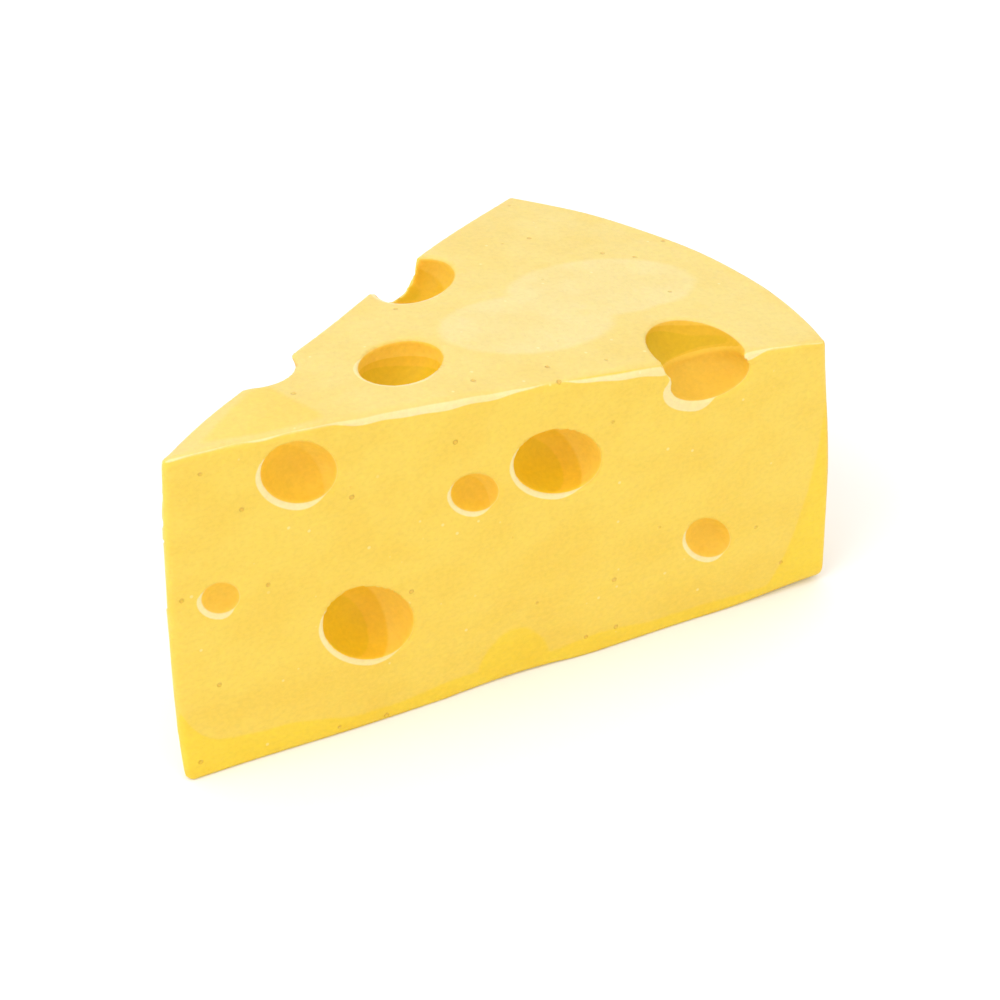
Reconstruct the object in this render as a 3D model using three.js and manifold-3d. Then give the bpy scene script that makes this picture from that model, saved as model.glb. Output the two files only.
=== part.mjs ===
// A wedge of holed, Swiss-type cheese: what two upright knife cuts leave of a low, domed wheel, with the round gas
// holes, called eyes, that the cuts and the pared top have opened.
//
// Millimetres. +Z is up and the wedge rests on z = 0. +X runs along the front cut from the tip to the rim, and +Y
// points from the front cut into the wheel. The origin is under the middle of the wedge's box.

import * as THREE from "three";
import { mergeVertices } from "three/addons/utils/BufferGeometryUtils.js";
import Module from "manifold-3d";

// Driving dimensions of the cuts.
const CUT_LENGTH = 165; // each knife cut, from the sharp tip to the rim
const WEDGE_ANGLE = THREE.MathUtils.degToRad(37); // between the two cuts
const TIP_RADIUS = 1.2; // the worn edge where the cuts meet
const TIP_LEAN = 2.3; // how much further out that edge is at its foot, as the back cut isn't quite plumb

// Driving dimensions of the wheel.
const WHEEL_RADIUS = 150; // half way up the side wall
const WHEEL_HEIGHT = 85; // at the middle, which is near the wedge's tip
const RIM_HEIGHT = 70; // of the side wall
const RIM_LEAN = 2.8; // how much further out the slumped wall is at its foot than at its top
const DOME_POWER = 1.4; // of the top's fall towards the rim: 1 is a cone, 2 a parabola
const RIM_TOP_RADIUS = 1.2;
const RIM_FOOT_RADIUS = 5;

// How finely the round shapes are faceted.
const WHEEL_SEGMENTS = 96;
const DOME_STEPS = 12;
const ARC_STEPS = 4;
const EYE_SEGMENTS = 24;
const EYE_RINGS = 14;

// How far a cutting solid runs past what it cuts.
const OVERSHOOT = 5;

// The eyes. Each is a bubble placed from one cut: "along" is in per cent of the cut's length from the tip, "up" in
// per cent of the wedge's height there, and "sink" is how far the bubble's centre lies inside that cut, in mm, which
// is negative where the cut opened less than half of it. "radii" are its half widths along the cut, into the cheese
// and upwards. In degrees, "tilt" turns it in the plane of the cut, and "swing" then turns it round the vertical.
const EYES = [
  // The front cut.
  { cut: "front", along: 27.8, up: 34.5, sink: 2, radii: [12.4, 10.5, 9.2], tilt: 42 },
  { cut: "front", along: 56.7, up: 73, sink: 2, radii: [12, 10.5, 8.1], tilt: 28 },
  { cut: "front", along: 19.3, up: 87.6, sink: -2, radii: [9.8, 8.5, 7.5], tilt: 38 },
  { cut: "front", along: 44.1, up: 68.9, sink: -1, radii: [6.5, 5.5, 4.8], tilt: 36 },
  { cut: "front", along: 81.1, up: 31.7, sink: -2, radii: [7.9, 6.2, 5.2], tilt: 46 },
  { cut: "front", along: 7.2, up: 56, sink: -1.8, radii: [5.2, 4.5, 4.3], tilt: 42 },
  // A bubble that the front cut only grazed, at the foot.
  { cut: "front", along: 49.8, up: 2.6, sink: -10, radii: [31, 10.5, 37] },
  // The one that breaks through the front top edge, where two bubbles met.
  { cut: "front", along: 80.4, up: 92.6, sink: 2, radii: [10.3, 9, 5.6], tilt: 2 },
  { cut: "front", along: 80, up: 101.2, sink: 5.3, radii: [11.6, 14.6, 7.2], swing: -12 },
  // The top, and the back top edge.
  { cut: "front", along: 39.2, up: 99.5, sink: 20, radii: [11.5, 8.5, 9.5], swing: 35 },
  { cut: "back", along: 62, up: 104, sink: 4.9, radii: [16.8, 9, 11], tilt: 38, swing: 6 },
  { cut: "back", along: 27.2, up: 91, sink: -5, radii: [12.3, 12.3, 12.3] },
  // The back cut.
  { cut: "back", along: 44, up: 58, sink: 1.5, radii: [10, 9.5, 8.4], tilt: 20 },
  { cut: "back", along: 73, up: 41, sink: 2, radii: [11.8, 11, 10], tilt: -25 },
  { cut: "back", along: 24, up: 38, sink: -2, radii: [7.4, 7, 6.2], tilt: 35 },
  { cut: "back", along: 56, up: 22, sink: -1, radii: [6.2, 6, 6] },
  { cut: "back", along: 88, up: 70, sink: -1.5, radii: [5.8, 5.5, 5], tilt: -15 },
  { cut: "back", along: 12, up: 66, sink: -2, radii: [4.6, 4.5, 4.6] },
  { cut: "back", along: 90, up: 20, sink: -2, radii: [7, 6.6, 6.2], tilt: 25 },
  { cut: "back", along: 38, up: 14, sink: -1.5, radii: [4.4, 4.4, 4.2] },
];

const wasm = await Module();
wasm.setup();

// A closed geometry as a solid that can be cut.
function solidOf(geometry) {
  const bare = geometry.clone();
  bare.deleteAttribute("normal");
  bare.deleteAttribute("uv");
  const merged = mergeVertices(bare, 1e-4);
  return new wasm.Manifold(
    new wasm.Mesh({
      numProp: 3,
      vertProperties: merged.attributes.position.array,
      triVerts: new Uint32Array(merged.index.array),
    }),
  );
}

// A solid as a geometry with flat facets.
function geometryOf(solid) {
  const mesh = solid.getMesh();
  const geometry = new THREE.BufferGeometry();
  geometry.setAttribute("position", new THREE.BufferAttribute(mesh.vertProperties, 3));
  geometry.setIndex(new THREE.BufferAttribute(mesh.triVerts, 1));
  const faceted = geometry.toNonIndexed();
  faceted.computeVertexNormals();
  return faceted;
}

// The wheel's axis stands on the wedge's middle line, where a rim of its radius ends both cuts at their length.
function wheelCentre() {
  const half = WEDGE_ANGLE / 2;
  const rimHalfWidth = CUT_LENGTH * Math.sin(half);
  const fromTip = CUT_LENGTH * Math.cos(half) - Math.sqrt(WHEEL_RADIUS ** 2 - rimHalfWidth ** 2);
  return new THREE.Vector2(Math.cos(half), Math.sin(half)).multiplyScalar(fromTip);
}

// Where the dome ends and the rounding of the rim's top edge begins.
const DOME_RADIUS = WHEEL_RADIUS - RIM_LEAN / 2 - RIM_TOP_RADIUS;

// Height of the wheel's top at a distance from its axis.
function domeHeight(radius) {
  const share = Math.min(radius / DOME_RADIUS, 1);
  return WHEEL_HEIGHT - (WHEEL_HEIGHT - RIM_HEIGHT) * share ** DOME_POWER;
}

// A quarter circle of the wheel's outline, as points from one angle to the next.
function quarterArc(centreRadius, centreHeight, arcRadius, startAngle) {
  const points = [];
  for (let i = 0; i <= ARC_STEPS; i++) {
    const angle = startAngle + (Math.PI / 2) * (i / ARC_STEPS);
    const out = centreRadius + arcRadius * Math.cos(angle);
    points.push(new THREE.Vector2(out, centreHeight + arcRadius * Math.sin(angle)));
  }
  return points;
}

// The whole wheel, turned from its half outline: the foot, the side wall, and the dome back to the axis.
function wheelSolid() {
  const footRadius = WHEEL_RADIUS + RIM_LEAN / 2 - RIM_FOOT_RADIUS;
  const foot = quarterArc(footRadius, RIM_FOOT_RADIUS, RIM_FOOT_RADIUS, -Math.PI / 2);
  const shoulder = quarterArc(DOME_RADIUS, RIM_HEIGHT - RIM_TOP_RADIUS, RIM_TOP_RADIUS, 0);
  const outline = [new THREE.Vector2(0, 0), ...foot, ...shoulder];
  for (let i = DOME_STEPS - 1; i > 0; i--) {
    const radius = DOME_RADIUS * (i / DOME_STEPS);
    outline.push(new THREE.Vector2(radius, domeHeight(radius)));
  }
  outline.push(new THREE.Vector2(0, WHEEL_HEIGHT));
  const wheel = new THREE.LatheGeometry(outline, WHEEL_SEGMENTS);
  const centre = wheelCentre();
  wheel.rotateX(Math.PI / 2).translate(centre.x, centre.y, 0);
  return solidOf(wheel);
}

// Everything between the two cuts, as a prism with a rounded tip that runs out past the rim. Sheared along the front
// cut, it keeps that cut plumb and leans the tip and the back cut.
function knifeWedge() {
  const far = 2 * CUT_LENGTH;
  const half = WEDGE_ANGLE / 2;
  const arcFromTip = TIP_RADIUS / Math.sin(half);
  const plan = new THREE.Shape();
  plan.moveTo(far, 0);
  plan.lineTo(far * Math.cos(WEDGE_ANGLE), far * Math.sin(WEDGE_ANGLE));
  plan.absarc(
    arcFromTip * Math.cos(half),
    arcFromTip * Math.sin(half),
    TIP_RADIUS,
    WEDGE_ANGLE + Math.PI / 2,
    (3 * Math.PI) / 2,
    false,
  );
  const prism = new THREE.ExtrudeGeometry(plan, {
    depth: WHEEL_HEIGHT + 2 * OVERSHOOT,
    bevelEnabled: false,
    curveSegments: 2 * ARC_STEPS,
  });
  prism.translate(0, 0, -OVERSHOOT - WHEEL_HEIGHT);
  prism.applyMatrix4(new THREE.Matrix4().makeShear(0, 0, 0, 0, TIP_LEAN / WHEEL_HEIGHT, 0));
  prism.translate(0, 0, WHEEL_HEIGHT);
  return solidOf(prism);
}

// One bubble where the table puts it.
function eyeSolid({ cut, along, up, sink, radii, tilt = 0, swing = 0 }) {
  const onFront = cut === "front";
  const cutAngle = onFront ? 0 : WEDGE_ANGLE;
  const inward = onFront ? 1 : -1;
  const place = new THREE.Vector2((CUT_LENGTH * along) / 100, inward * sink);
  place.rotateAround(new THREE.Vector2(0, 0), cutAngle);
  const height = (domeHeight(place.distanceTo(wheelCentre())) * up) / 100;
  const bubble = new THREE.SphereGeometry(1, EYE_SEGMENTS, EYE_RINGS);
  bubble.rotateX(Math.PI / 2).scale(...radii);
  bubble.rotateY(THREE.MathUtils.degToRad(tilt));
  bubble.rotateZ(cutAngle + THREE.MathUtils.degToRad(swing));
  bubble.translate(place.x, place.y, height);
  return solidOf(bubble);
}

// The wedge: the wheel between the cuts, less its eyes.
function cheeseSolid() {
  let cheese = wheelSolid().intersect(knifeWedge());
  for (const eye of EYES) {
    cheese = cheese.subtract(eyeSolid(eye));
  }
  return cheese;
}

function cheeseMesh() {
  const geometry = geometryOf(cheeseSolid());
  geometry.computeBoundingBox();
  const middle = geometry.boundingBox.getCenter(new THREE.Vector3());
  const paste = new THREE.MeshStandardMaterial({ color: 0xfedb60, roughness: 0.45, metalness: 0 });
  const mesh = new THREE.Mesh(geometry, paste);
  mesh.name = "cheese_wedge";
  mesh.position.set(-middle.x, -middle.y, 0);
  return mesh;
}

const cheese = new THREE.Group();
cheese.add(cheeseMesh());

export default cheese;
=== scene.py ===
# A wedge of holed, Swiss-type cheese on a pale floor: one piece, made as a distance field and meshed
# from it. The field is worked out in millimetres from the wedge's tip: +X runs along the front cut, +Y
# into the cheese and +Z up.
import math
from collections import namedtuple
from itertools import product

import bpy
import numpy as np
from mathutils import Matrix, Vector


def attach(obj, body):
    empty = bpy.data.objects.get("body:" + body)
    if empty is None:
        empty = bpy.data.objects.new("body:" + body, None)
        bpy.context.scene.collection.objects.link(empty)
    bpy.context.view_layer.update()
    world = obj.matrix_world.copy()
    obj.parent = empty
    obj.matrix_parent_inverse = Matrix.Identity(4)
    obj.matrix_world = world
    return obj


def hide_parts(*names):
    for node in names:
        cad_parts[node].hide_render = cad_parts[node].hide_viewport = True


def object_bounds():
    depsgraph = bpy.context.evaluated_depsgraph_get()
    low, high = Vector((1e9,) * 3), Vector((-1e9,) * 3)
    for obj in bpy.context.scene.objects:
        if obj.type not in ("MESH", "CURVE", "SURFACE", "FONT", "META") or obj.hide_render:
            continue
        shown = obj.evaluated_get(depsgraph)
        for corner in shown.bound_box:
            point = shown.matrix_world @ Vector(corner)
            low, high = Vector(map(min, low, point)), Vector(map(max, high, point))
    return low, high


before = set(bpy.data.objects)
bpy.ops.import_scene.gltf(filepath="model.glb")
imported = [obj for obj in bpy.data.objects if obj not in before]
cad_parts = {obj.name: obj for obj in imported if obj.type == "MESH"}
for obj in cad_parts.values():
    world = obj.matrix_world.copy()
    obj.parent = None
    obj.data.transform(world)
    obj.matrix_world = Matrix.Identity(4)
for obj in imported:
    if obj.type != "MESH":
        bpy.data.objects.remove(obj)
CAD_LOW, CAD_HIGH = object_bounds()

# The cuts.
CUT_LENGTH = 165.0
WEDGE_ANGLE = math.radians(37)
TIP_RADIUS_TOP = 1.2
TIP_RADIUS_FOOT = 1.8
TIP_LIFT = 1.8  # how much higher the front edge stands at the tip than the dome does
TIP_LIFT_LENGTH = 12.0  # how far along the edge that has sunk to about a third
TIP_LIFT_WIDTH = 2.0  # how far behind the edge it reaches at the tip
TIP_LIFT_SPREAD = 0.7  # how much further it reaches for each mm along the edge
TIP_TOP = 2.4  # how far the worn tip stops short of the point where the cuts would meet, at the top
TIP_FOOT = 0.4  # and at the foot, where it has slumped outwards
TIP_BULGE = 1.45  # how far it swells between the two
SLUMP_POWER = 0.75  # under 1, a side swells most below half way up
BACK_BEND = 0.8  # how far the back cut bends to and fro
BACK_BEND_PLACE = 90.0  # how far from the tip it crosses the plane of the cut
BACK_BEND_LENGTH = 16.0  # of one radian of the bend

# The wheel that they were cut from.
WHEEL_RADIUS = 150.0
WHEEL_HEIGHT = 85.0
RIM_HEIGHT = 70.0
RIM_TOP = -1.3  # the side wall's distance from that radius at its top
RIM_FOOT = 2.4  # and at its foot, where it has slumped outwards
RIM_BULGE = 1.2  # how far it swells between the two
RIM_ARC_BULGE = 2.2  # how far the middle of the rim stands out from a true circle
RIM_FOOT_RADIUS = 4.0
RIM_FOOT_FROM = 120.0  # how far from the axis the foot's edge starts to be that round
DOME_POWER = 1.4
DOME_RADIUS = 147.4

# The roundings where its surfaces meet.
TOP_EDGE_RADIUS = 0.9
FOOT_EDGE_RADIUS = 0.9
RIM_EDGE_RADIUS = 1.2

# How far down the front top edge is worn, in mm: a little everywhere, more in two long stretches, each
# with how much and with where it begins, is full, begins to fade and ends along the edge, and in small
# nicks, each with how much and with the length of one radian.
# That depth also sets how far down the painted highlight along that edge reaches.
LEAST_WEAR = 0.5
WORN_STRETCHES = ((1.5, 38, 50, 72, 90), (2.1, 90, 114, 138, 150))
NICKS = ((0.2, 3.1), (0.15, 1.7))
WEAR_ROUNDING = 0.55  # how much larger the edge's radius is for each mm of wear
WEAR_FADES = (2, 8)  # between how many mm behind the front cut the wear stops rounding the edges

# How far each surface's low waves reach to either side, in mm.
FRONT_WAVE = 0.22
BACK_WAVE = 0.25
RIM_WAVE = 0.2
TOP_WAVE = 0.25

# The frame's box gives the scale and the place of the tip.
UNIT = (CAD_HIGH.z - CAD_LOW.z) / WHEEL_HEIGHT
CAD_TIP_RADIUS = 1.2
CAD_TIP_LEAN = 2.3
CAD_TIP_INSET = CAD_TIP_RADIUS / math.tan(WEDGE_ANGLE / 2) - CAD_TIP_RADIUS - CAD_TIP_LEAN
ORIGIN = np.array([CAD_LOW.x - CAD_TIP_INSET * UNIT, CAD_LOW.y, CAD_LOW.z])

# The grid that the surface is first found on, in mm, and how its vertices are then set.
GRID_STEP = 0.9
GRID_MARGIN = 5.0
GRID_LENGTH = 170.0  # the wedge ends a little before this
FIRST_STEPS = 3  # how often each vertex first steps on to the surface
RELAX_ROUNDS = 3
RELAX_SHARE = 0.5  # how much of the way a vertex goes to the middle of its neighbours in a round
RELAX_STEPS = 2  # how often it then steps back on to the surface
LEAST_SLOPE = 0.05  # of the field, squared, which keeps a step from running away
TINY = 1e-6  # keeps a quotient finite at a bubble's centre

# The eyes. An eye is a bubble that one of the cuts has opened:
#   along       where it is along the cut, in per cent of the cut's length from the tip
#   up          how high it is, in per cent of the wedge's height there
#   sink        how far its centre lies inside the cut, in mm
#   radii       its half widths along the cut, into the cheese and upwards, in mm
#   tilt        how far it is turned in the plane of the cut, in degrees
#   swing       how far it is then turned round the vertical, in degrees
#   deep        how deep the colour of its painted shade is, from 0 to 1
#   shade       where its painted shade lies
#   lip         how wide the painted highlight on its lip is, in mm
#   lip_side    where that highlight is widest, in degrees anticlockwise from the cut's own direction
#   worn        how round its rim is, in mm
#   top         whether its mouth is in the top
#   open        how much of the sky its walls see, from 0 to 1, which sets how much painted shade is added
# A shade, which is painted, is a ball: its centre and half widths along the bubble's own axes, in shares of
# the radii, and how many times wider the middle tone reaches than the dark one.
Shade = namedtuple("Shade", "centre half_widths middle")
SIDE_SHADE = Shade((0, 0.57, -0.82), (0.68, 0.75, 0.9), 1.48)
TOP_SHADE = Shade((-0.7, -0.13, -0.68), (1.49, 1.33, 0.64), 1.14)
EDGE_SHADE = Shade((-0.77, 0.3, -0.56), (1.6, 0.58, 0.45), 1.23)
BACK_EDGE_SHADE = Shade((0, -0.71, -0.42), (6, 0.48, 0.25), 2.51)
NO_SHADE = Shade((0, 0, 9), (1, 1, 1), 2)
Eye = namedtuple(
    "Eye",
    "cut along up sink radii tilt swing deep shade lip lip_side worn top open",
    defaults=(0, 0, 0.3, SIDE_SHADE, 1.1, -138, 0.35, False, 0),
)
EYES = [
    # The front cut.
    Eye("front", 27.8, 34.5, 2, (12.4, 10.5, 9.2), tilt=42, deep=1, lip=1.5),
    Eye("front", 56.7, 73, 2, (12, 10.5, 8.1), tilt=28, deep=1, lip=1.5),
    Eye("front", 19.3, 87.6, -2, (9.8, 8.5, 7.5), tilt=38, deep=0.2, lip=1.4),
    Eye("front", 44.1, 68.9, -1, (6.5, 5.5, 4.8), tilt=36, deep=0.2),
    Eye("front", 81.1, 31.7, -2, (7.9, 6.2, 5.2), tilt=46, deep=0),
    Eye("front", 7.2, 56, -1.8, (5.2, 4.5, 4.3), tilt=42, deep=0),
    # The one that breaks through the front top edge, where two bubbles met.
    Eye(
        "front", 80.4, 92.6, 2, (10.3, 9, 5.6), tilt=2,
        deep=0.2, shade=NO_SHADE, lip=2.7, lip_side=-162, open=0.45,
    ),
    Eye(
        "front", 80, 101.2, 5.3, (11.6, 14.6, 7.2), swing=-12,
        deep=1, shade=EDGE_SHADE, lip=0, top=True, open=0.85,
    ),
    # The top, and the back top edge.
    Eye(
        "front", 39.2, 99.5, 20, (11.5, 8.5, 9.5), swing=35,
        deep=1, shade=TOP_SHADE, lip=1.3, lip_side=-130, top=True, open=0.45,
    ),
    Eye(
        "back", 62, 104, 4.9, (16.8, 9, 11), tilt=38, swing=6,
        deep=1, shade=BACK_EDGE_SHADE, worn=0.9, top=True, open=0.7,
    ),
    Eye("back", 27.2, 91, -5, (12.3, 12.3, 12.3), deep=0.5, lip=0.5, worn=0.9, top=True, open=0.7),
    # The back cut.
    Eye("back", 44, 58, 1.5, (10, 9.5, 8.4), tilt=20, deep=0.8, lip=1.1),
    Eye("back", 73, 41, 2, (11.8, 11, 10), tilt=-25, deep=1, lip=1.2),
    Eye("back", 24, 38, -2, (7.4, 7, 6.2), tilt=35, deep=0.35),
    Eye("back", 56, 22, -1, (6.2, 6, 6), deep=0.3),
    Eye("back", 88, 70, -1.5, (5.8, 5.5, 5), tilt=-15, deep=0.3),
    Eye("back", 12, 66, -2, (4.6, 4.5, 4.6), deep=0.1),
    Eye("back", 90, 20, -2, (7, 6.6, 6.2), tilt=25, deep=0.2),
    Eye("back", 38, 14, -1.5, (4.4, 4.4, 4.2), deep=0.1),
]
# A bubble that the front cut only grazed, at the foot.
GRAZED = Eye("front", 49.8, 2.6, -10, (31, 10.5, 37))
GRAZED_LIP = 2.0
EYE_REACH = 5.0  # how far outside a bubble it still matters, in mm
LIP_ROUNDING = 0.8  # how much rounder a rim is worn where the lip is widest, in mm
LIP_FULL_FROM = 0.75  # the share of a lip's side from which the lip's painted highlight has its full width
LIP_GONE_BELOW = 0.4  # and the one below which it ends inside the mouth
LIP_SETBACK = 0.3  # by so many mm
NO_LIP = -1.0  # what stands for the width of a lip's painted highlight, in mm, where there is no eye near
FAR_OUT = -9.0  # and for a point's way into an eye
EYES_BLEND = 0.5  # over how many mm the colours of two eyes that meet run into each other


# ---- The field.


def smooth(low, high, value):
    """0 below low, 1 above high, and an S curve between them."""
    share = np.clip((value - low) / (high - low), 0, 1)
    return share * share * (3 - 2 * share)


def bump(centre, half_width, value):
    """1 at the centre, falling smoothly to 0 at its half width."""
    return 1 - smooth(0, half_width, np.abs(value - centre))


def round_max(a, b, radius):
    """The common part of two solids, with the edge between them rounded."""
    corner = np.hypot(np.maximum(a + radius, 0), np.maximum(b + radius, 0))
    return np.minimum(np.maximum(a, b), -radius) + corner


def wheel_centre():
    half = WEDGE_ANGLE / 2
    from_tip = CUT_LENGTH * math.cos(half) - math.sqrt(WHEEL_RADIUS**2 - (CUT_LENGTH * math.sin(half)) ** 2)
    return np.array([math.cos(half), math.sin(half)]) * from_tip


def axis_distance(points):
    centre = wheel_centre()
    return np.hypot(points[:, 0] - centre[0], points[:, 1] - centre[1])


def dome_height(radius):
    share = np.minimum(radius / DOME_RADIUS, 1)
    return WHEEL_HEIGHT - (WHEEL_HEIGHT - RIM_HEIGHT) * share**DOME_POWER


def top_height(points):
    """The dome, lifted a little along the front edge near the tip."""
    along = np.maximum(points[:, 0], 0)
    width = TIP_LIFT_SPREAD * along + TIP_LIFT_WIDTH
    lift = TIP_LIFT * np.exp(-along / TIP_LIFT_LENGTH) * (1 - smooth(0, width, points[:, 1]))
    return dome_height(axis_distance(points)) + lift


def slump(height, full_height):
    """How far a side swells at a height: 1 a little below half way up, 0 at the foot and the top."""
    share = np.clip(height / full_height, 0, 1) ** SLUMP_POWER
    return 4 * share * (1 - share)


# The low waves in each surface. Their lengths, in mm, are uneven, so that they don't fall into step.


def front_wave(x, z):
    return FRONT_WAVE * np.sin(x / 9.1 + 0.7 * np.sin(z / 13)) * np.sin(z / 17 + 1)


def back_wave(x, z):
    return BACK_WAVE * np.sin(x / 11 + z / 23) * np.sin(z / 15)


def rim_wave(y, z):
    return RIM_WAVE * np.sin(z / 8 + 2 * np.sin(y / 21))


def top_wave(x, y):
    return TOP_WAVE * np.sin(x / 12 + 0.8 * np.sin(y / 9)) * np.sin(y / 11 + 2)


def cuts_distance(points):
    """The space between the two cuts, whose tip is a rounded edge that is blunter at its foot."""
    x, y, z = points.T
    half = WEDGE_ANGLE / 2
    share = np.clip(z / WHEEL_HEIGHT, 0, 1)
    radius = TIP_RADIUS_FOOT + (TIP_RADIUS_TOP - TIP_RADIUS_FOOT) * share
    tip = TIP_FOOT + (TIP_TOP - TIP_FOOT) * share - TIP_BULGE * slump(z, WHEEL_HEIGHT)
    out = x - tip + radius * (1 / math.tan(half) - 1)
    front = -y + front_wave(x, z)
    bend = BACK_BEND * np.sin((np.hypot(x, y) - BACK_BEND_PLACE) / BACK_BEND_LENGTH)
    back = y * math.cos(WEDGE_ANGLE) - out * math.sin(WEDGE_ANGLE) - bend
    back += back_wave(x, z)
    flat = np.maximum(front, back)
    reach = radius / math.sin(half)
    from_x = out - reach * math.cos(half)
    from_y = y - reach * math.sin(half)
    before_front = from_x < 0
    before_back = from_x * math.cos(WEDGE_ANGLE) + from_y * math.sin(WEDGE_ANGLE) < 0
    return np.where(before_front & before_back, np.hypot(from_x, from_y) - radius, flat)


def edge_wear_and_highlight(points):
    """How far down the front top edge is worn, in mm."""
    x = points[:, 0]
    wear = np.full(len(points), LEAST_WEAR)
    for amount, begins, full, fades, ends in WORN_STRETCHES:
        wear += amount * smooth(begins, full, x) * (1 - smooth(fades, ends, x))
    for amount, length in NICKS:
        wear += amount * np.sin(x / length)
    return wear


def top_edge_radius(points):
    """The front top edge is worn unevenly; the others are even."""
    at_front = 1 - smooth(*WEAR_FADES, points[:, 1])
    return TOP_EDGE_RADIUS + WEAR_ROUNDING * edge_wear_and_highlight(points) * at_front


def rim_radius(points):
    """The side wall's distance from the wheel's axis."""
    x, y, z = points.T
    share = np.clip(z / RIM_HEIGHT, 0, 1)
    slumped = RIM_FOOT + (RIM_TOP - RIM_FOOT) * share + RIM_BULGE * slump(z, RIM_HEIGHT)
    between_cuts = np.clip(np.arctan2(y, x) / WEDGE_ANGLE, 0, 1)
    return WHEEL_RADIUS + slumped + RIM_ARC_BULGE * np.sin(np.pi * between_cuts)


def body_distance(points):
    """The wedge before its eyes: negative inside."""
    x, y, z = points.T
    radius = axis_distance(points)
    rim = radius - rim_radius(points) + rim_wave(y, z)
    top = z - top_height(points) + top_wave(x, y)
    walls = round_max(cuts_distance(points), rim, RIM_EDGE_RADIUS)
    topped = round_max(walls, top, top_edge_radius(points))
    at_rim = smooth(RIM_FOOT_FROM, WHEEL_RADIUS, radius)
    foot_radius = FOOT_EDGE_RADIUS + (RIM_FOOT_RADIUS - FOOT_EDGE_RADIUS) * at_rim
    return round_max(topped, -z, foot_radius)


def turn_y(angle):
    c, s = math.cos(angle), math.sin(angle)
    return np.array([[c, 0, s], [0, 1, 0], [-s, 0, c]])


def turn_z(angle):
    c, s = math.cos(angle), math.sin(angle)
    return np.array([[c, -s, 0], [s, c, 0], [0, 0, 1]])


def cut_turn(eye):
    return turn_z(0 if eye.cut == "front" else WEDGE_ANGLE)


def eye_centre(eye):
    inward = 1 if eye.cut == "front" else -1
    centre = cut_turn(eye) @ np.array([CUT_LENGTH * eye.along / 100, inward * eye.sink, 0])
    centre[2] = dome_height(axis_distance(centre[None])[0]) * eye.up / 100
    return centre


def in_eye_axes(eye, points):
    """Points from the eye's centre, along its own three half widths."""
    turn = cut_turn(eye) @ turn_z(math.radians(eye.swing)) @ turn_y(math.radians(eye.tilt))
    return (points - eye_centre(eye)) @ turn


def bubble_distance(eye, points):
    """About how far a point lies outside a bubble, in mm."""
    local = in_eye_axes(eye, points)
    radii = np.array(eye.radii)
    near = np.linalg.norm(local / radii, axis=1)
    steep = np.linalg.norm(local / radii**2, axis=1)
    return near * (near - 1) / np.maximum(steep, TINY)


def lip_share(eye, points):
    """How far a point lies on the side of an eye where its lip is widest, from 0 to 1. An eye is seen
    square on to its cut or, with its mouth in the top, from above."""
    along, inward, up = (points - eye_centre(eye)).T
    if eye.top:
        up = inward
    elif eye.cut == "back":
        along = -((points - eye_centre(eye)) @ cut_turn(eye))[:, 0]
    away = np.hypot(along, up) + TINY
    side = math.radians(eye.lip_side)
    return np.clip((math.cos(side) * along + math.sin(side) * up) / away, 0, 1)


def near_eye(eye, points):
    """Which points an eye can change."""
    reach = max(eye.radii) + EYE_REACH
    return np.flatnonzero(np.abs(points - eye_centre(eye)).max(axis=1) < reach)


def cheese_distance(points):
    """The whole wedge: the body less its eyes, whose rims are worn rounder where the lips are widest."""
    distance = body_distance(points)
    for eye in EYES:
        some = near_eye(eye, points)
        close = points[some]
        lip = eye.worn + LIP_ROUNDING * lip_share(eye, close)
        distance[some] = round_max(distance[some], -bubble_distance(eye, close), lip)
    return round_max(distance, -bubble_distance(GRAZED, points), GRAZED_LIP)


# ---- The mesh.


def surface_net(field, low, step):
    """Quads on the zero surface of a sampled field, with one vertex in each grid cell that it crosses."""
    inside = field < 0
    sizes = np.array(field.shape) - 1
    offsets = list(product((0, 1), repeat=3))
    count = np.zeros(sizes, int)
    for offset in offsets:
        count += inside[tuple(slice(o, o + n) for o, n in zip(offset, sizes))]
    crossed = (count > 0) & (count < len(offsets))
    index = np.full(crossed.shape, -1)
    index[crossed] = np.arange(crossed.sum())
    cells = np.argwhere(crossed)
    total = np.zeros((len(cells), 3))
    hits = np.zeros(len(cells))
    for start in offsets:
        for axis in range(3):
            if start[axis]:
                continue
            end = np.array(start)
            end[axis] = 1
            a = field[tuple((cells + start).T)]
            b = field[tuple((cells + end).T)]
            cut = (a < 0) != (b < 0)
            total[cut] += start
            total[cut, axis] += (a / np.where(cut, a - b, 1))[cut]
            hits[cut] += 1
    vertices = low + step * (cells + total / hits[:, None])
    quads = []
    for axis in range(3):
        ahead = np.diff(inside.astype(int), axis=axis)
        edges = np.argwhere(ahead != 0)
        u, v = (axis + 1) % 3, (axis + 2) % 3
        corners = []
        for du, dv in ((1, 1), (0, 1), (0, 0), (1, 0)):
            cell = edges.copy()
            cell[:, u] -= du
            cell[:, v] -= dv
            corners.append(index[tuple(cell.T)])
        ring = np.stack(corners, axis=1)
        entering = ahead[tuple(edges.T)] > 0
        ring[entering] = ring[entering][:, ::-1]
        quads.append(ring)
    return vertices, np.concatenate(quads)


def gradient(points, reach=0.05):
    """The field's slope at each point."""
    slope = np.empty_like(points)
    for axis in range(3):
        step = np.zeros(3)
        step[axis] = reach
        rise = cheese_distance(points + step) - cheese_distance(points - step)
        slope[:, axis] = rise / (2 * reach)
    return slope


def onto_surface(points, rounds):
    """Points moved along the slope until they lie on the surface."""
    for _ in range(rounds):
        slope = gradient(points)
        size = np.maximum((slope**2).sum(axis=1), LEAST_SLOPE)
        move = slope * (cheese_distance(points) / size)[:, None]
        points = points - np.clip(move, -GRID_STEP / 2, GRID_STEP / 2)
    return points


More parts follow.
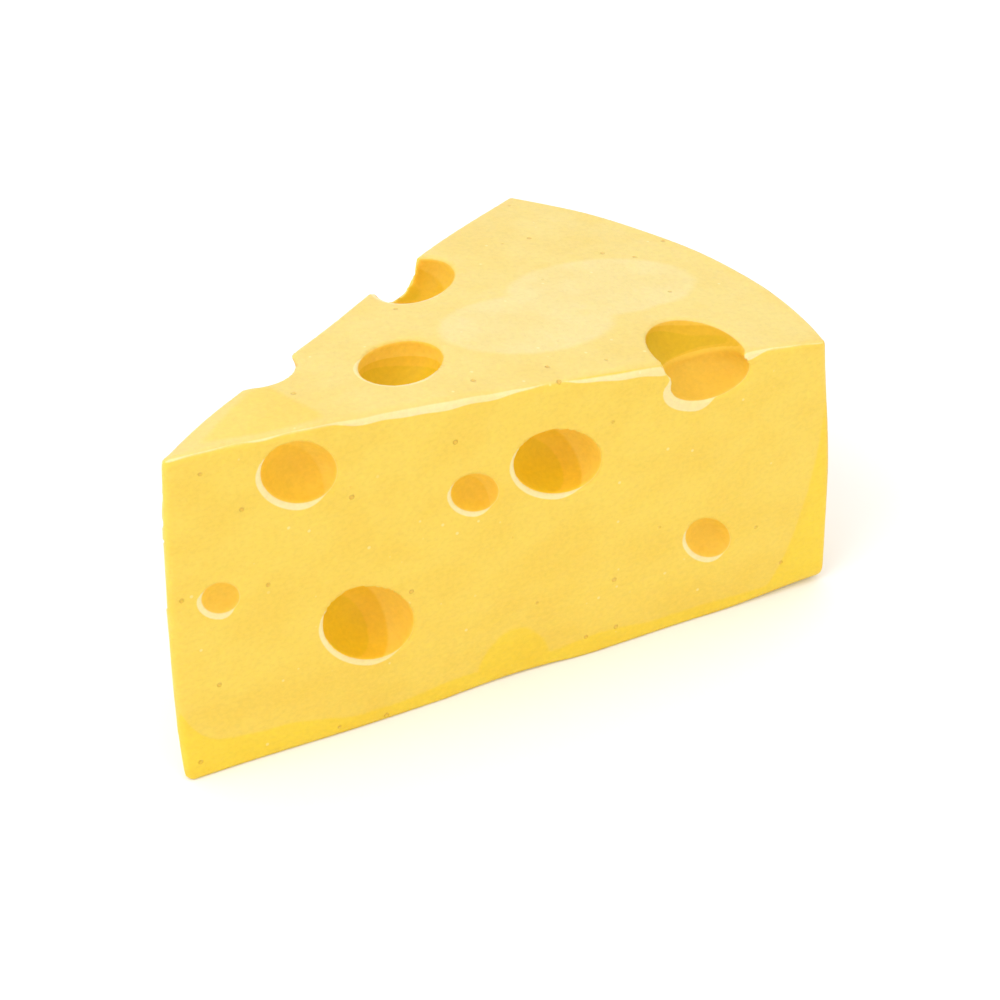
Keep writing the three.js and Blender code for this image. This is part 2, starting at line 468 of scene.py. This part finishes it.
def relaxed(points, quads, share):
    """Points moved part of the way to the middle of their neighbours, which evens out the quads."""
    total = np.zeros_like(points)
    count = np.zeros(len(points))
    for side in range(4):
        start, end = quads[:, side], quads[:, (side + 1) % 4]
        for axis in range(3):
            total[:, axis] += np.bincount(start, points[end, axis], len(points))
            total[:, axis] += np.bincount(end, points[start, axis], len(points))
        count += np.bincount(start, minlength=len(points)) + np.bincount(end, minlength=len(points))
    return points + share * (total / count[:, None] - points)


def cheese_surface():
    """Vertices in mm from the tip, and quads."""
    low = np.full(3, -GRID_MARGIN)
    high = np.array([GRID_LENGTH, CUT_LENGTH * math.sin(WEDGE_ANGLE), WHEEL_HEIGHT]) + GRID_MARGIN
    lines = [np.arange(a, b, GRID_STEP) for a, b in zip(low, high)]
    grid = np.stack(np.meshgrid(*lines, indexing="ij"), axis=-1)
    field = cheese_distance(grid.reshape(-1, 3)).reshape(grid.shape[:3])
    points, quads = surface_net(field, low, GRID_STEP)
    points = onto_surface(points, FIRST_STEPS)
    for _ in range(RELAX_ROUNDS):
        points = onto_surface(relaxed(points, quads, RELAX_SHARE), RELAX_STEPS)
    return points, quads


# ---- Where the colours lie. Each field is a length in mm at each vertex, positive inside its area, unless
# it says otherwise, and the material draws the area's border where the field crosses 0.

# The painted shade along the foot, a deeper band, and its height up each cut: even, flared at the tip,
# higher in the part next to it, and with two humps, each with how high, where along the cut and how wide to
# each side.
BAND_HEIGHT = 3.9
BAND_FLARE = 13.0
BAND_FLARE_LENGTH = 4.2
BAND_START = 3.9
BAND_START_FADES = (24, 44)
BAND_HUMPS = ((1.2, 68, 15), (1.7, 104, 17))

# The same painted shade up the rim's side of each cut: how wide it is at a height, in how many mm of
# height it narrows to about a third, and how much narrower it is all along.
RIM_BAND_WIDTH = 15.0
RIM_BAND_FOOT = 5.0
RIM_BAND_FALL = 24.0
RIM_BAND_SETBACK = 1.6

# The ovals that some areas are made of, each with how far its middle lies inside its border.
Oval = namedtuple("Oval", "centre half_widths depth")
HIGHLIGHT_NEAR_TIP = Oval((99, 27), (22, 14.5), 15)
HIGHLIGHT_NEAR_RIM = Oval((126, 40), (25, 15), 15)
# the painted shade in the grazed bubble's mouth
GRAZED_MOUTH = Oval((82, 0), (9.8, 14), 9.8)
HIGHLIGHT_MARGIN = 0.4  # how much smaller than its two ovals the painted highlight is
EDGE_EYE_PLACE = (138, 9)  # the middle of the eye in the front edge, seen from above
EDGE_EYE_CLEARANCE = 18.5  # how far from that the painted highlight stops
GRAZED_BEHIND = 1.5  # how far behind the front cut the grazed mouth's painted shade begins to fail
GRAZED_FADE = 4.0  # and how fast

# The sides of the deeper patch near the tip, each with a place that it passes through, with how much it
# slants, and with the length of its slant, which makes its distance true.
Side = namedtuple("Side", "place slant length")
TIP_PATCH_BACK = Side((15, 7), 0.92, 1.36)
TIP_PATCH_RIM = Side((39, 5), 0.36, 1.06)
TIP_PATCH_FRONT = 2.6  # how far behind the front cut its front side is
TIP_PATCH_WAVE = 0.6
TIP_PATCH_WAVE_LENGTH = 6.0  # of one radian of that side's wave


def foot_shade(points):
    """Painted shade: the deeper tone along the foot, up the rim's side of each cut and in the grazed
    bubble's mouth.
    """
    x, y, z = points.T
    along = np.hypot(x, y)
    foot = BAND_HEIGHT + BAND_FLARE * np.exp(-along / BAND_FLARE_LENGTH)
    foot += BAND_START * (1 - smooth(*BAND_START_FADES, along))
    for hump, centre, half_width in BAND_HUMPS:
        foot += hump * bump(centre, half_width, along)
    rim = CUT_LENGTH - RIM_BAND_WIDTH * np.exp(-(z - RIM_BAND_FOOT) / RIM_BAND_FALL) + RIM_BAND_SETBACK
    return np.maximum(np.maximum(foot - z, along - rim), grazed_width(points))


def oval_depth(oval, across, up):
    """How far a place lies inside an oval, in mm."""
    across = (across - oval.centre[0]) / oval.half_widths[0]
    up = (up - oval.centre[1]) / oval.half_widths[1]
    return oval.depth * (1 - np.hypot(across, up))


def highlight_patch(points):
    """The painted highlight on the top: two ovals that run together, and stop short of the eye in the front
    edge."""
    x, y = points[:, 0], points[:, 1]
    ovals = np.logaddexp(oval_depth(HIGHLIGHT_NEAR_TIP, x, y), oval_depth(HIGHLIGHT_NEAR_RIM, x, y)) - HIGHLIGHT_MARGIN
    eye_x, eye_y = EDGE_EYE_PLACE
    return np.minimum(ovals, np.hypot(x - eye_x, y - eye_y) - EDGE_EYE_CLEARANCE)


def tip_patch(points):
    """The slightly deeper patch on the top near the tip, which is a triangle with round corners."""
    x, y = points[:, 0], points[:, 1]
    front = y - TIP_PATCH_FRONT - TIP_PATCH_WAVE * np.sin(x / TIP_PATCH_WAVE_LENGTH)
    (place_x, place_y), slant, length = TIP_PATCH_BACK
    back = (place_y + slant * (x - place_x) - y) / length
    (place_x, place_y), slant, length = TIP_PATCH_RIM
    rim = (place_x - slant * (y - place_y) - x) / length
    return -np.logaddexp(np.logaddexp(-front, -back), -rim)


def lip_width(eye, points):
    """How wide the painted highlight on the lip outside an eye is, which is widest on one side and gone on
    the other.
    """
    share = lip_share(eye, points)
    return eye.lip * smooth(0, LIP_FULL_FROM, share) - LIP_SETBACK * (1 - smooth(0, LIP_GONE_BELOW, share))


def shade_depth(eye, points):
    """How far a point lies into the painted shade of an eye: 0 where its middle tone begins and 1 where
    its dark tone does."""
    local = in_eye_axes(eye, points) / np.array(eye.radii)
    if eye.cut == "back":
        local = local * (1, -1, 1)
    ring = np.linalg.norm((local - eye.shade.centre) / eye.shade.half_widths, axis=1)
    return (eye.shade.middle - ring) / (eye.shade.middle - 1)


def grazed_width(points):
    """How far a point lies inside the painted shade in the mouth of the grazed bubble at the foot, in mm.
    """
    x, y, z = points.T
    return oval_depth(GRAZED_MOUTH, x, z) - GRAZED_FADE * np.maximum(y - GRAZED_BEHIND, 0)


def eye_fields(points):
    """The way in from the mouth of the nearest eye, the width of its lip's painted highlight, and, as plain
    numbers, its painted shade, how deep that shade's colour is, and how much it opens upwards, which adds
    painted shade. Where two eyes meet, the last four run into each other."""
    body = body_distance(points)
    way_in = np.full(len(points), FAR_OUT)
    weight = np.full(len(points), math.exp(FAR_OUT / EYES_BLEND))
    others = np.outer([NO_LIP, FAR_OUT, 0.0, 0.0], weight)
    for eye in EYES:
        some = near_eye(eye, points)
        close = points[some]
        here = -body[some] - bubble_distance(eye, close)
        nearness = np.exp(here / EYES_BLEND)
        same = np.ones(len(some))
        of_eye = (lip_width(eye, close), shade_depth(eye, close), same * eye.deep, same * eye.open)
        way_in[some] = np.maximum(way_in[some], here)
        weight[some] += nearness
        others[:, some] += np.stack(of_eye) * nearness
    return way_in, *(others / weight)


def vertex_fields(points):
    """What the material reads at each vertex, by name."""
    way_in, lip, shade, deep, open_up = eye_fields(points)
    return {
        "below_top": top_height(points) - points[:, 2],
        "inside_rim": rim_radius(points) - axis_distance(points),
        "behind_front": points[:, 1],
        "edge_wear_and_highlight": edge_wear_and_highlight(points),
        "foot_shade": foot_shade(points),
        "highlight_patch": highlight_patch(points),
        "tip_patch": tip_patch(points),
        "way_in": way_in,
        "lip": lip,
        "shade": shade,
        "deep": deep,
        "open": open_up,
    }


def cheese_piece():
    points, quads = cheese_surface()
    mesh = bpy.data.meshes.new("cheese_paste")
    mesh.from_pydata((ORIGIN + points * UNIT).tolist(), [], quads.tolist())
    mesh.shade_smooth()
    for name, values in vertex_fields(points).items():
        layer = mesh.attributes.new(name, "FLOAT", "POINT")
        layer.data.foreach_set("value", values.astype(np.float32))
    piece = bpy.data.objects.new("cheese_paste", mesh)
    bpy.context.scene.collection.objects.link(piece)
    return piece


# ---- The material.


def linear(red, green, blue):
    """A screen colour, 0 to 255, as the linear colour that a shader takes."""
    shares = [c / 255 for c in (red, green, blue)]
    return [s / 12.92 if s <= 0.04045 else ((s + 0.055) / 1.055) ** 2.4 for s in shares] + [1.0]


PASTE = linear(232, 199, 78)
# painted shade along the foot and up the rim's side of each cut
FOOT_SHADE = linear(234, 200, 50)
# painted sheen: the top is paler than the cuts, for the overhead light that it catches
TOP_SHEEN = linear(225, 200, 116)
# painted highlight on the top
TOP_HIGHLIGHT = linear(226, 205, 136)
TIP_PATCH = linear(226, 197, 94)
RIM = linear(226, 186, 68)
# The eyes' colours, deeper and oranger than the paste: painted shade of their hollows, in a light, a middle
# and a dark step. The deep eyes' light step is painted lighter to make up for the real shade inside them.
SHALLOW_EYE = linear(239, 194, 72)
SHALLOW_MID = linear(238, 190, 62)
EYE_LIGHT = linear(252, 211, 86)
EYE_MID = linear(243, 200, 56)
EYE_DARK = linear(234, 196, 40)
OPEN_EYE_SHADE = (0.72, 0.63, 0.35, 1.0)  # painted shade: what an eye's colour is multiplied by where it opens upwards
# painted highlight on the eyes' lips and along the worn front top edge
EDGE_HIGHLIGHT = linear(233, 216, 155)
DEEP_CLOUD = (0.98, 0.95, 0.84, 1.0)  # what the colour is multiplied by in the deeper clouds
CRYSTAL = linear(240, 228, 176)
CRYSTAL_SHARE = 0.4  # of that colour in a crystal
# painted shade in the pinholes
PINHOLE_SHADE = linear(214, 158, 48)
PINHOLE_SHADE_SHARE = 0.45

# Between which two values of its field, in mm, each area comes in.
TOP_BORDER = (0.8, 0.3)  # below the top
RIM_BORDER = (0.9, 0.4)  # inside the rim's wall
FOOT_SHADE_BORDER = (-0.5, 0.5)
HIGHLIGHT_PATCH_BORDER = (-0.8, 1.2)
TIP_PATCH_BORDER = (-0.8, 1.0)
EDGE_HIGHLIGHT_BORDER = (-0.15, 0.15)
EYE_BORDER = (0.15, 0.5)
SPOTS_BORDER = (0.0, -0.6)  # of the spots, which stop short of the eyes
RELIEF_BORDER = (1.0, -0.2)  # of the knife's marks, which end just inside them
GLOSS_BORDER = (0.0, 1.0)  # of the eyes' duller walls
UNEVEN_BORDERS = (-0.6, 0.6)  # how far the borders of the patches and the painted foot shade wander
EDGE_BEHIND = 0.6  # how far behind the front cut the painted highlight along the worn edge ends

# Between which two values, from 0 to 1, an eye's painted tones come in.
TONED_EYE = (0.0, 0.2)  # by how deep its colour is
MID_TONE = (-0.1, 0.1)  # by its painted shade
DARK_TONE = (0.9, 1.1)

# Spots, in mm, and the noises, with the lengths of their patches in mm.
PINHOLES = {"spacing": 6.5, "radius": 0.7, "share": 0.4}
CRYSTALS = {"spacing": 4.5, "radius": 0.5, "share": 0.5}
SPOT_CORE = 0.5  # how much of a spot's radius is full
SPOTS_IN_FULL = 0.9  # how many of the spots that are kept are full, from 0 to 1
PATCHES = {"sizes": (8, 8, 8)}
CLOUDS = {"sizes": (16, 16, 11), "detail": 2}
GRAIN = {"sizes": (1.3, 1.3, 1.0), "detail": 5, "roughness": 0.65}
KNIFE_WAVES = {"sizes": (11, 11, 8), "detail": 2}
DRAG_LINES = {"sizes": (30, 30, 1.1), "detail": 4, "roughness": 0.6}
FINE_GRAIN = {"sizes": (0.9, 0.9, 0.9), "detail": 4, "roughness": 0.65}
MOISTURE = {"sizes": (6, 6, 4), "detail": 5, "roughness": 0.6}
CLOUD_BORDER = (0.35, 0.7)  # between which values of their noise the deeper clouds come in
GRAIN_TONES = (0.86, 1.12)  # what the colour is multiplied by in the darkest and lightest grains

# The relief: how strong each kind is, and how deep, in mm.
WAVE_RELIEF = {"strength": 0.7, "depth": 0.6}
PINHOLE_RELIEF = {"strength": 0.8, "depth": 0.4}
DRAG_STRENGTH = 0.55
DRAG_DEPTH = 0.2
GRAIN_IN_EYES = 0.25
GRAIN_MORE_OUTSIDE = 0.35
GRAIN_DEPTH = 0.14

# The gloss, and the light that passes a little way into the paste.
ROUGHNESS = (0.3, 0.6)  # where it is moistest and driest
EYE_DULLNESS = 0.1  # how much rougher the walls of the eyes are
SPECULAR = (0.4, 0.15)  # outside the eyes and in them
SCATTER_WEIGHT = 0.4
SCATTER_RADIUS = (1.0, 0.55, 0.15)  # of red, green and blue, in shares of the length below
SCATTER_LENGTH = 2.5  # mm


class Nodes:
    """A material's nodes, each made by one call."""

    def __init__(self, name):
        self.material = bpy.data.materials.new(name)
        self.material.use_nodes = True
        self.tree = self.material.node_tree
        self.shader = self.tree.nodes["Principled BSDF"]

    def add(self, kind, **settings):
        node = self.tree.nodes.new(kind)
        for key, value in settings.items():
            setattr(node, key, value)
        return node

    def feed(self, socket, value):
        if isinstance(value, bpy.types.NodeSocket):
            self.tree.links.new(value, socket)
        else:
            socket.default_value = value

    def field(self, name):
        return self.add("ShaderNodeAttribute", attribute_name=name).outputs["Fac"]

    def step(self, value, low, high):
        """0 below low, 1 above high, and an S curve between them."""
        node = self.add("ShaderNodeMapRange", interpolation_type="SMOOTHSTEP")
        self.feed(node.inputs["Value"], value)
        node.inputs["From Min"].default_value = low
        node.inputs["From Max"].default_value = high
        return node.outputs["Result"]

    def mix(self, share, a, b, blend="MIX"):
        node = self.add("ShaderNodeMix", data_type="RGBA", blend_type=blend)
        self.feed(node.inputs["Factor"], share)
        self.feed(node.inputs["A"], a)
        self.feed(node.inputs["B"], b)
        return node.outputs["Result"]

    def math(self, operation, a, b):
        node = self.add("ShaderNodeMath", operation=operation)
        self.feed(node.inputs[0], a)
        self.feed(node.inputs[1], b)
        return node.outputs[0]

    def spread(self, value, low, high):
        """A value from 0 to 1 spread from low to high."""
        node = self.add("ShaderNodeMapRange")
        self.feed(node.inputs["Value"], value)
        node.inputs["To Min"].default_value = low
        node.inputs["To Max"].default_value = high
        return node.outputs["Result"]

    def place(self, sizes):
        """Object coordinates counted in patches of the given sizes, in mm."""
        node = self.add("ShaderNodeMapping")
        self.feed(node.inputs["Vector"], self.add("ShaderNodeTexCoord").outputs["Object"])
        node.inputs["Scale"].default_value = [1 / (size * UNIT) for size in sizes]
        return node.outputs["Vector"]

    def noise(self, sizes, detail=3.0, roughness=0.5):
        node = self.add("ShaderNodeTexNoise")
        self.feed(node.inputs["Vector"], self.place(sizes))
        node.inputs["Scale"].default_value = 1
        node.inputs["Detail"].default_value = detail
        node.inputs["Roughness"].default_value = roughness
        return node.outputs["Fac"]

    def spots(self, spacing, radius, share):
        """1 inside small round spots and 0 between them. Spacing and radius are in mm, and the share, from
        0 to 1, is how many of them are kept."""
        node = self.add("ShaderNodeTexVoronoi", feature="F1")
        self.feed(node.inputs["Vector"], self.place((spacing, spacing, spacing)))
        node.inputs["Scale"].default_value = 1
        chance = self.add("ShaderNodeSeparateColor")
        self.feed(chance.inputs["Color"], node.outputs["Color"])
        spot = self.step(node.outputs["Distance"], radius / spacing, SPOT_CORE * radius / spacing)
        kept = self.step(chance.outputs["Red"], 1 - share, 1 - SPOTS_IN_FULL * share)
        return self.math("MULTIPLY", spot, kept)

    def bump(self, height, strength, depth, normal=None):
        """Relief as deep as depth, in mm, on top of the relief in normal."""
        node = self.add("ShaderNodeBump")
        self.feed(node.inputs["Height"], height)
        self.feed(node.inputs["Strength"], strength)
        node.inputs["Distance"].default_value = depth * UNIT
        if normal:
            self.feed(node.inputs["Normal"], normal)
        return node.outputs["Normal"]


def eye_colour(nodes):
    """Inside an eye: painted shade, deeper in two steps towards its dark part, and deeper where the eye
    opens upwards.
    """
    shade = nodes.field("shade")
    deep = nodes.field("deep")
    light = nodes.mix(deep, SHALLOW_EYE, EYE_LIGHT)
    mid = nodes.mix(deep, SHALLOW_MID, EYE_MID)
    dark = nodes.mix(deep, SHALLOW_MID, EYE_DARK)
    toned = nodes.step(deep, *TONED_EYE)
    in_mid = nodes.math("MULTIPLY", nodes.step(shade, *MID_TONE), toned)
    in_dark = nodes.math("MULTIPLY", nodes.step(shade, *DARK_TONE), toned)
    colour = nodes.mix(in_dark, nodes.mix(in_mid, light, mid), dark)
    return nodes.mix(nodes.field("open"), colour, nodes.mix(1.0, colour, OPEN_EYE_SHADE, blend="MULTIPLY"))


def cheese_colour(nodes):
    """The tones of the cuts, the painted shade along the foot, the rim, the top with its painted sheen and
    its patches, one of them a painted highlight, the painted highlight on the worn edge and the eyes' lips,
    and the eyes with their painted shade.
    """
    uneven = nodes.spread(nodes.noise(**PATCHES), *UNEVEN_BORDERS)
    on_top = nodes.step(nodes.field("below_top"), *TOP_BORDER)
    on_rim = nodes.step(nodes.field("inside_rim"), *RIM_BORDER)
    # the painted shade along the foot
    shaded_foot = nodes.step(nodes.math("ADD", nodes.field("foot_shade"), uneven), *FOOT_SHADE_BORDER)
    # the painted highlight on the top
    highlight_patch = nodes.step(nodes.math("ADD", nodes.field("highlight_patch"), uneven), *HIGHLIGHT_PATCH_BORDER)
    tip_patch = nodes.step(nodes.math("ADD", nodes.field("tip_patch"), uneven), *TIP_PATCH_BORDER)
    # the top: its painted sheen, with the painted highlight patch and the deeper patch near the tip
    top = nodes.mix(tip_patch, nodes.mix(highlight_patch, TOP_SHEEN, TOP_HIGHLIGHT), TIP_PATCH)
    colour = nodes.mix(on_rim, nodes.mix(shaded_foot, PASTE, FOOT_SHADE), RIM)
    colour = nodes.mix(on_top, colour, top)
    way_in = nodes.field("way_in")
    # the painted highlight along the worn front top edge and on the eyes' lips
    down_edge = nodes.math("SUBTRACT", nodes.field("edge_wear_and_highlight"), nodes.field("below_top"))
    along_edge = nodes.math("SUBTRACT", EDGE_BEHIND, nodes.field("behind_front"))
    worn = nodes.math("MINIMUM", down_edge, along_edge)
    round_eye = nodes.math("ADD", way_in, nodes.field("lip"))
    colour = nodes.mix(nodes.step(nodes.math("MAXIMUM", worn, round_eye), *EDGE_HIGHLIGHT_BORDER), colour, EDGE_HIGHLIGHT)
    # the eyes, in their painted shade
    colour = nodes.mix(nodes.step(way_in, *EYE_BORDER), colour, eye_colour(nodes))
    return grained(nodes, colour)


def grained(nodes, colour):
    """The colour with the paste's soft clouds, fine grain, pale crystals, and pinholes darkened with
    painted shade.
    """
    clouds = nodes.step(nodes.noise(**CLOUDS), *CLOUD_BORDER)
    colour = nodes.mix(clouds, colour, nodes.mix(1.0, colour, DEEP_CLOUD, blend="MULTIPLY"))
    grain = nodes.spread(nodes.noise(**GRAIN), *GRAIN_TONES)
    colour = nodes.mix(1.0, colour, grain, blend="MULTIPLY")
    outside = nodes.step(nodes.field("way_in"), *SPOTS_BORDER)
    crystals = nodes.math("MULTIPLY", nodes.spots(**CRYSTALS), outside)
    colour = nodes.mix(nodes.math("MULTIPLY", crystals, CRYSTAL_SHARE), colour, CRYSTAL)
    pinholes = nodes.math("MULTIPLY", nodes.spots(**PINHOLES), outside)
    return nodes.mix(nodes.math("MULTIPLY", pinholes, PINHOLE_SHADE_SHARE), colour, PINHOLE_SHADE)


def cut_texture(nodes):
    """The surface's relief: waves and drag lines that the knife left, grain, and pinholes. Eyes are
    smoother."""
    outside = nodes.step(nodes.field("way_in"), *RELIEF_BORDER)
    normal = nodes.bump(nodes.noise(**KNIFE_WAVES), **WAVE_RELIEF)
    drag = nodes.math("MULTIPLY", outside, DRAG_STRENGTH)
    normal = nodes.bump(nodes.noise(**DRAG_LINES), drag, DRAG_DEPTH, normal)
    grain = nodes.math("ADD", nodes.math("MULTIPLY", outside, GRAIN_MORE_OUTSIDE), GRAIN_IN_EYES)
    normal = nodes.bump(nodes.noise(**FINE_GRAIN), grain, GRAIN_DEPTH, normal)
    pinholes = nodes.math("MULTIPLY", nodes.spots(**PINHOLES), outside)
    return nodes.bump(nodes.math("SUBTRACT", 1.0, pinholes), **PINHOLE_RELIEF, normal=normal)


def cheese_material():
    nodes = Nodes("cheese_paste")
    shader = nodes.shader
    nodes.feed(shader.inputs["Base Color"], cheese_colour(nodes))
    in_eye = nodes.step(nodes.field("way_in"), *GLOSS_BORDER)
    dry = nodes.spread(nodes.noise(**MOISTURE), *ROUGHNESS)
    dull = nodes.math("MULTIPLY", in_eye, EYE_DULLNESS)
    nodes.feed(shader.inputs["Roughness"], nodes.math("ADD", dry, dull))
    nodes.feed(shader.inputs["Specular IOR Level"], nodes.spread(in_eye, *SPECULAR))
    shader.inputs["Subsurface Weight"].default_value = SCATTER_WEIGHT
    shader.inputs["Subsurface Radius"].default_value = SCATTER_RADIUS
    shader.inputs["Subsurface Scale"].default_value = SCATTER_LENGTH * UNIT
    nodes.feed(shader.inputs["Normal"], cut_texture(nodes))
    return nodes.material


def floor_material():
    nodes = Nodes("studio_floor")
    nodes.shader.inputs["Base Color"].default_value = (0.93, 0.93, 0.93, 1)
    nodes.shader.inputs["Roughness"].default_value = 0.8
    nodes.shader.inputs["Specular IOR Level"].default_value = 0.2
    return nodes.material


# ---- The stage.

# The camera, by where it stands from the point it is aimed at, in mm.
AIM = (0.5, 0.25, 0.22)  # in shares of the cut's length from the tip, forward, inward and up
AZIMUTH = math.radians(-25.9)
ELEVATION = math.radians(34.5)
ROLL = math.radians(-0.87)
DISTANCE = 598.0
SIDESTEP = (14.8, -8.8)  # right and up, which sets the wedge in the middle of the picture
LENS = 89.8
CLIP_END = 50.0  # metres

FLOOR_HALF_WIDTH = 6.0  # metres


def direction(azimuth, elevation):
    """The way to what stands at an azimuth from the front and at an elevation, both in radians."""
    level = math.cos(elevation)
    return Vector((math.sin(azimuth) * level, -math.cos(azimuth) * level, math.sin(elevation)))


def camera_turn():
    """The camera's right, up and back as columns."""
    back = direction(AZIMUTH, ELEVATION)
    level = Vector((math.cos(AZIMUTH), math.sin(AZIMUTH), 0))
    upright = back.cross(level)
    right = math.cos(ROLL) * level + math.sin(ROLL) * upright
    return Matrix((right, back.cross(right), back)).transposed()


def place_camera():
    data = bpy.data.cameras.new("camera")
    data.lens = LENS
    data.clip_end = CLIP_END
    camera = bpy.data.objects.new("camera", data)
    turn = camera_turn()
    aim = Vector(ORIGIN) + Vector(AIM) * CUT_LENGTH * UNIT
    place = aim + turn @ Vector((*SIDESTEP, DISTANCE)) * UNIT
    camera.matrix_world = Matrix.Translation(place) @ turn.to_4x4()
    bpy.context.scene.collection.objects.link(camera)
    bpy.context.scene.camera = camera


def place_floor():
    half = FLOOR_HALF_WIDTH
    mesh = bpy.data.meshes.new("floor")
    corners = [(x, y, CAD_LOW.z) for x, y in ((-half, -half), (half, -half), (half, half), (-half, half))]
    mesh.from_pydata(corners, [], [(0, 1, 2, 3)])
    mesh.materials.append(floor_material())
    floor = bpy.data.objects.new("floor", mesh)
    bpy.context.scene.collection.objects.link(floor)


def place_light(name, azimuth, elevation, distance, size, watts):
    """A square soft light aimed at the middle of the wedge. Its distance and size are in metres, and its
    angles in degrees."""
    back = direction(math.radians(azimuth), math.radians(elevation))
    data = bpy.data.lights.new(name, "AREA")
    data.size = size
    data.energy = watts
    light = bpy.data.objects.new(name, data)
    middle = (CAD_LOW + CAD_HIGH) / 2
    light.location = middle + back * distance
    light.rotation_euler = back.to_track_quat("Z", "Y").to_euler()
    bpy.context.scene.collection.objects.link(light)


def light_stage():
    place_light("key", azimuth=-75, elevation=48, distance=1.3, size=0.9, watts=6.4)
    place_light("fill", azimuth=35, elevation=30, distance=1.6, size=1.2, watts=3.2)
    place_light("top", azimuth=150, elevation=75, distance=1.3, size=1.0, watts=2.0)
    world = bpy.data.worlds.new("studio")
    world.use_nodes = True
    world.node_tree.nodes["Background"].inputs["Color"].default_value = (1, 1, 1, 1)
    world.node_tree.nodes["Background"].inputs["Strength"].default_value = 0.99
    bpy.context.scene.world = world
    bpy.context.scene.view_settings.view_transform = "Standard"


place_camera()
place_floor()
light_stage()

cheese = cheese_piece()
cheese.data.materials.append(cheese_material())
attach(cheese, "root")
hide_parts("cheese_wedge")
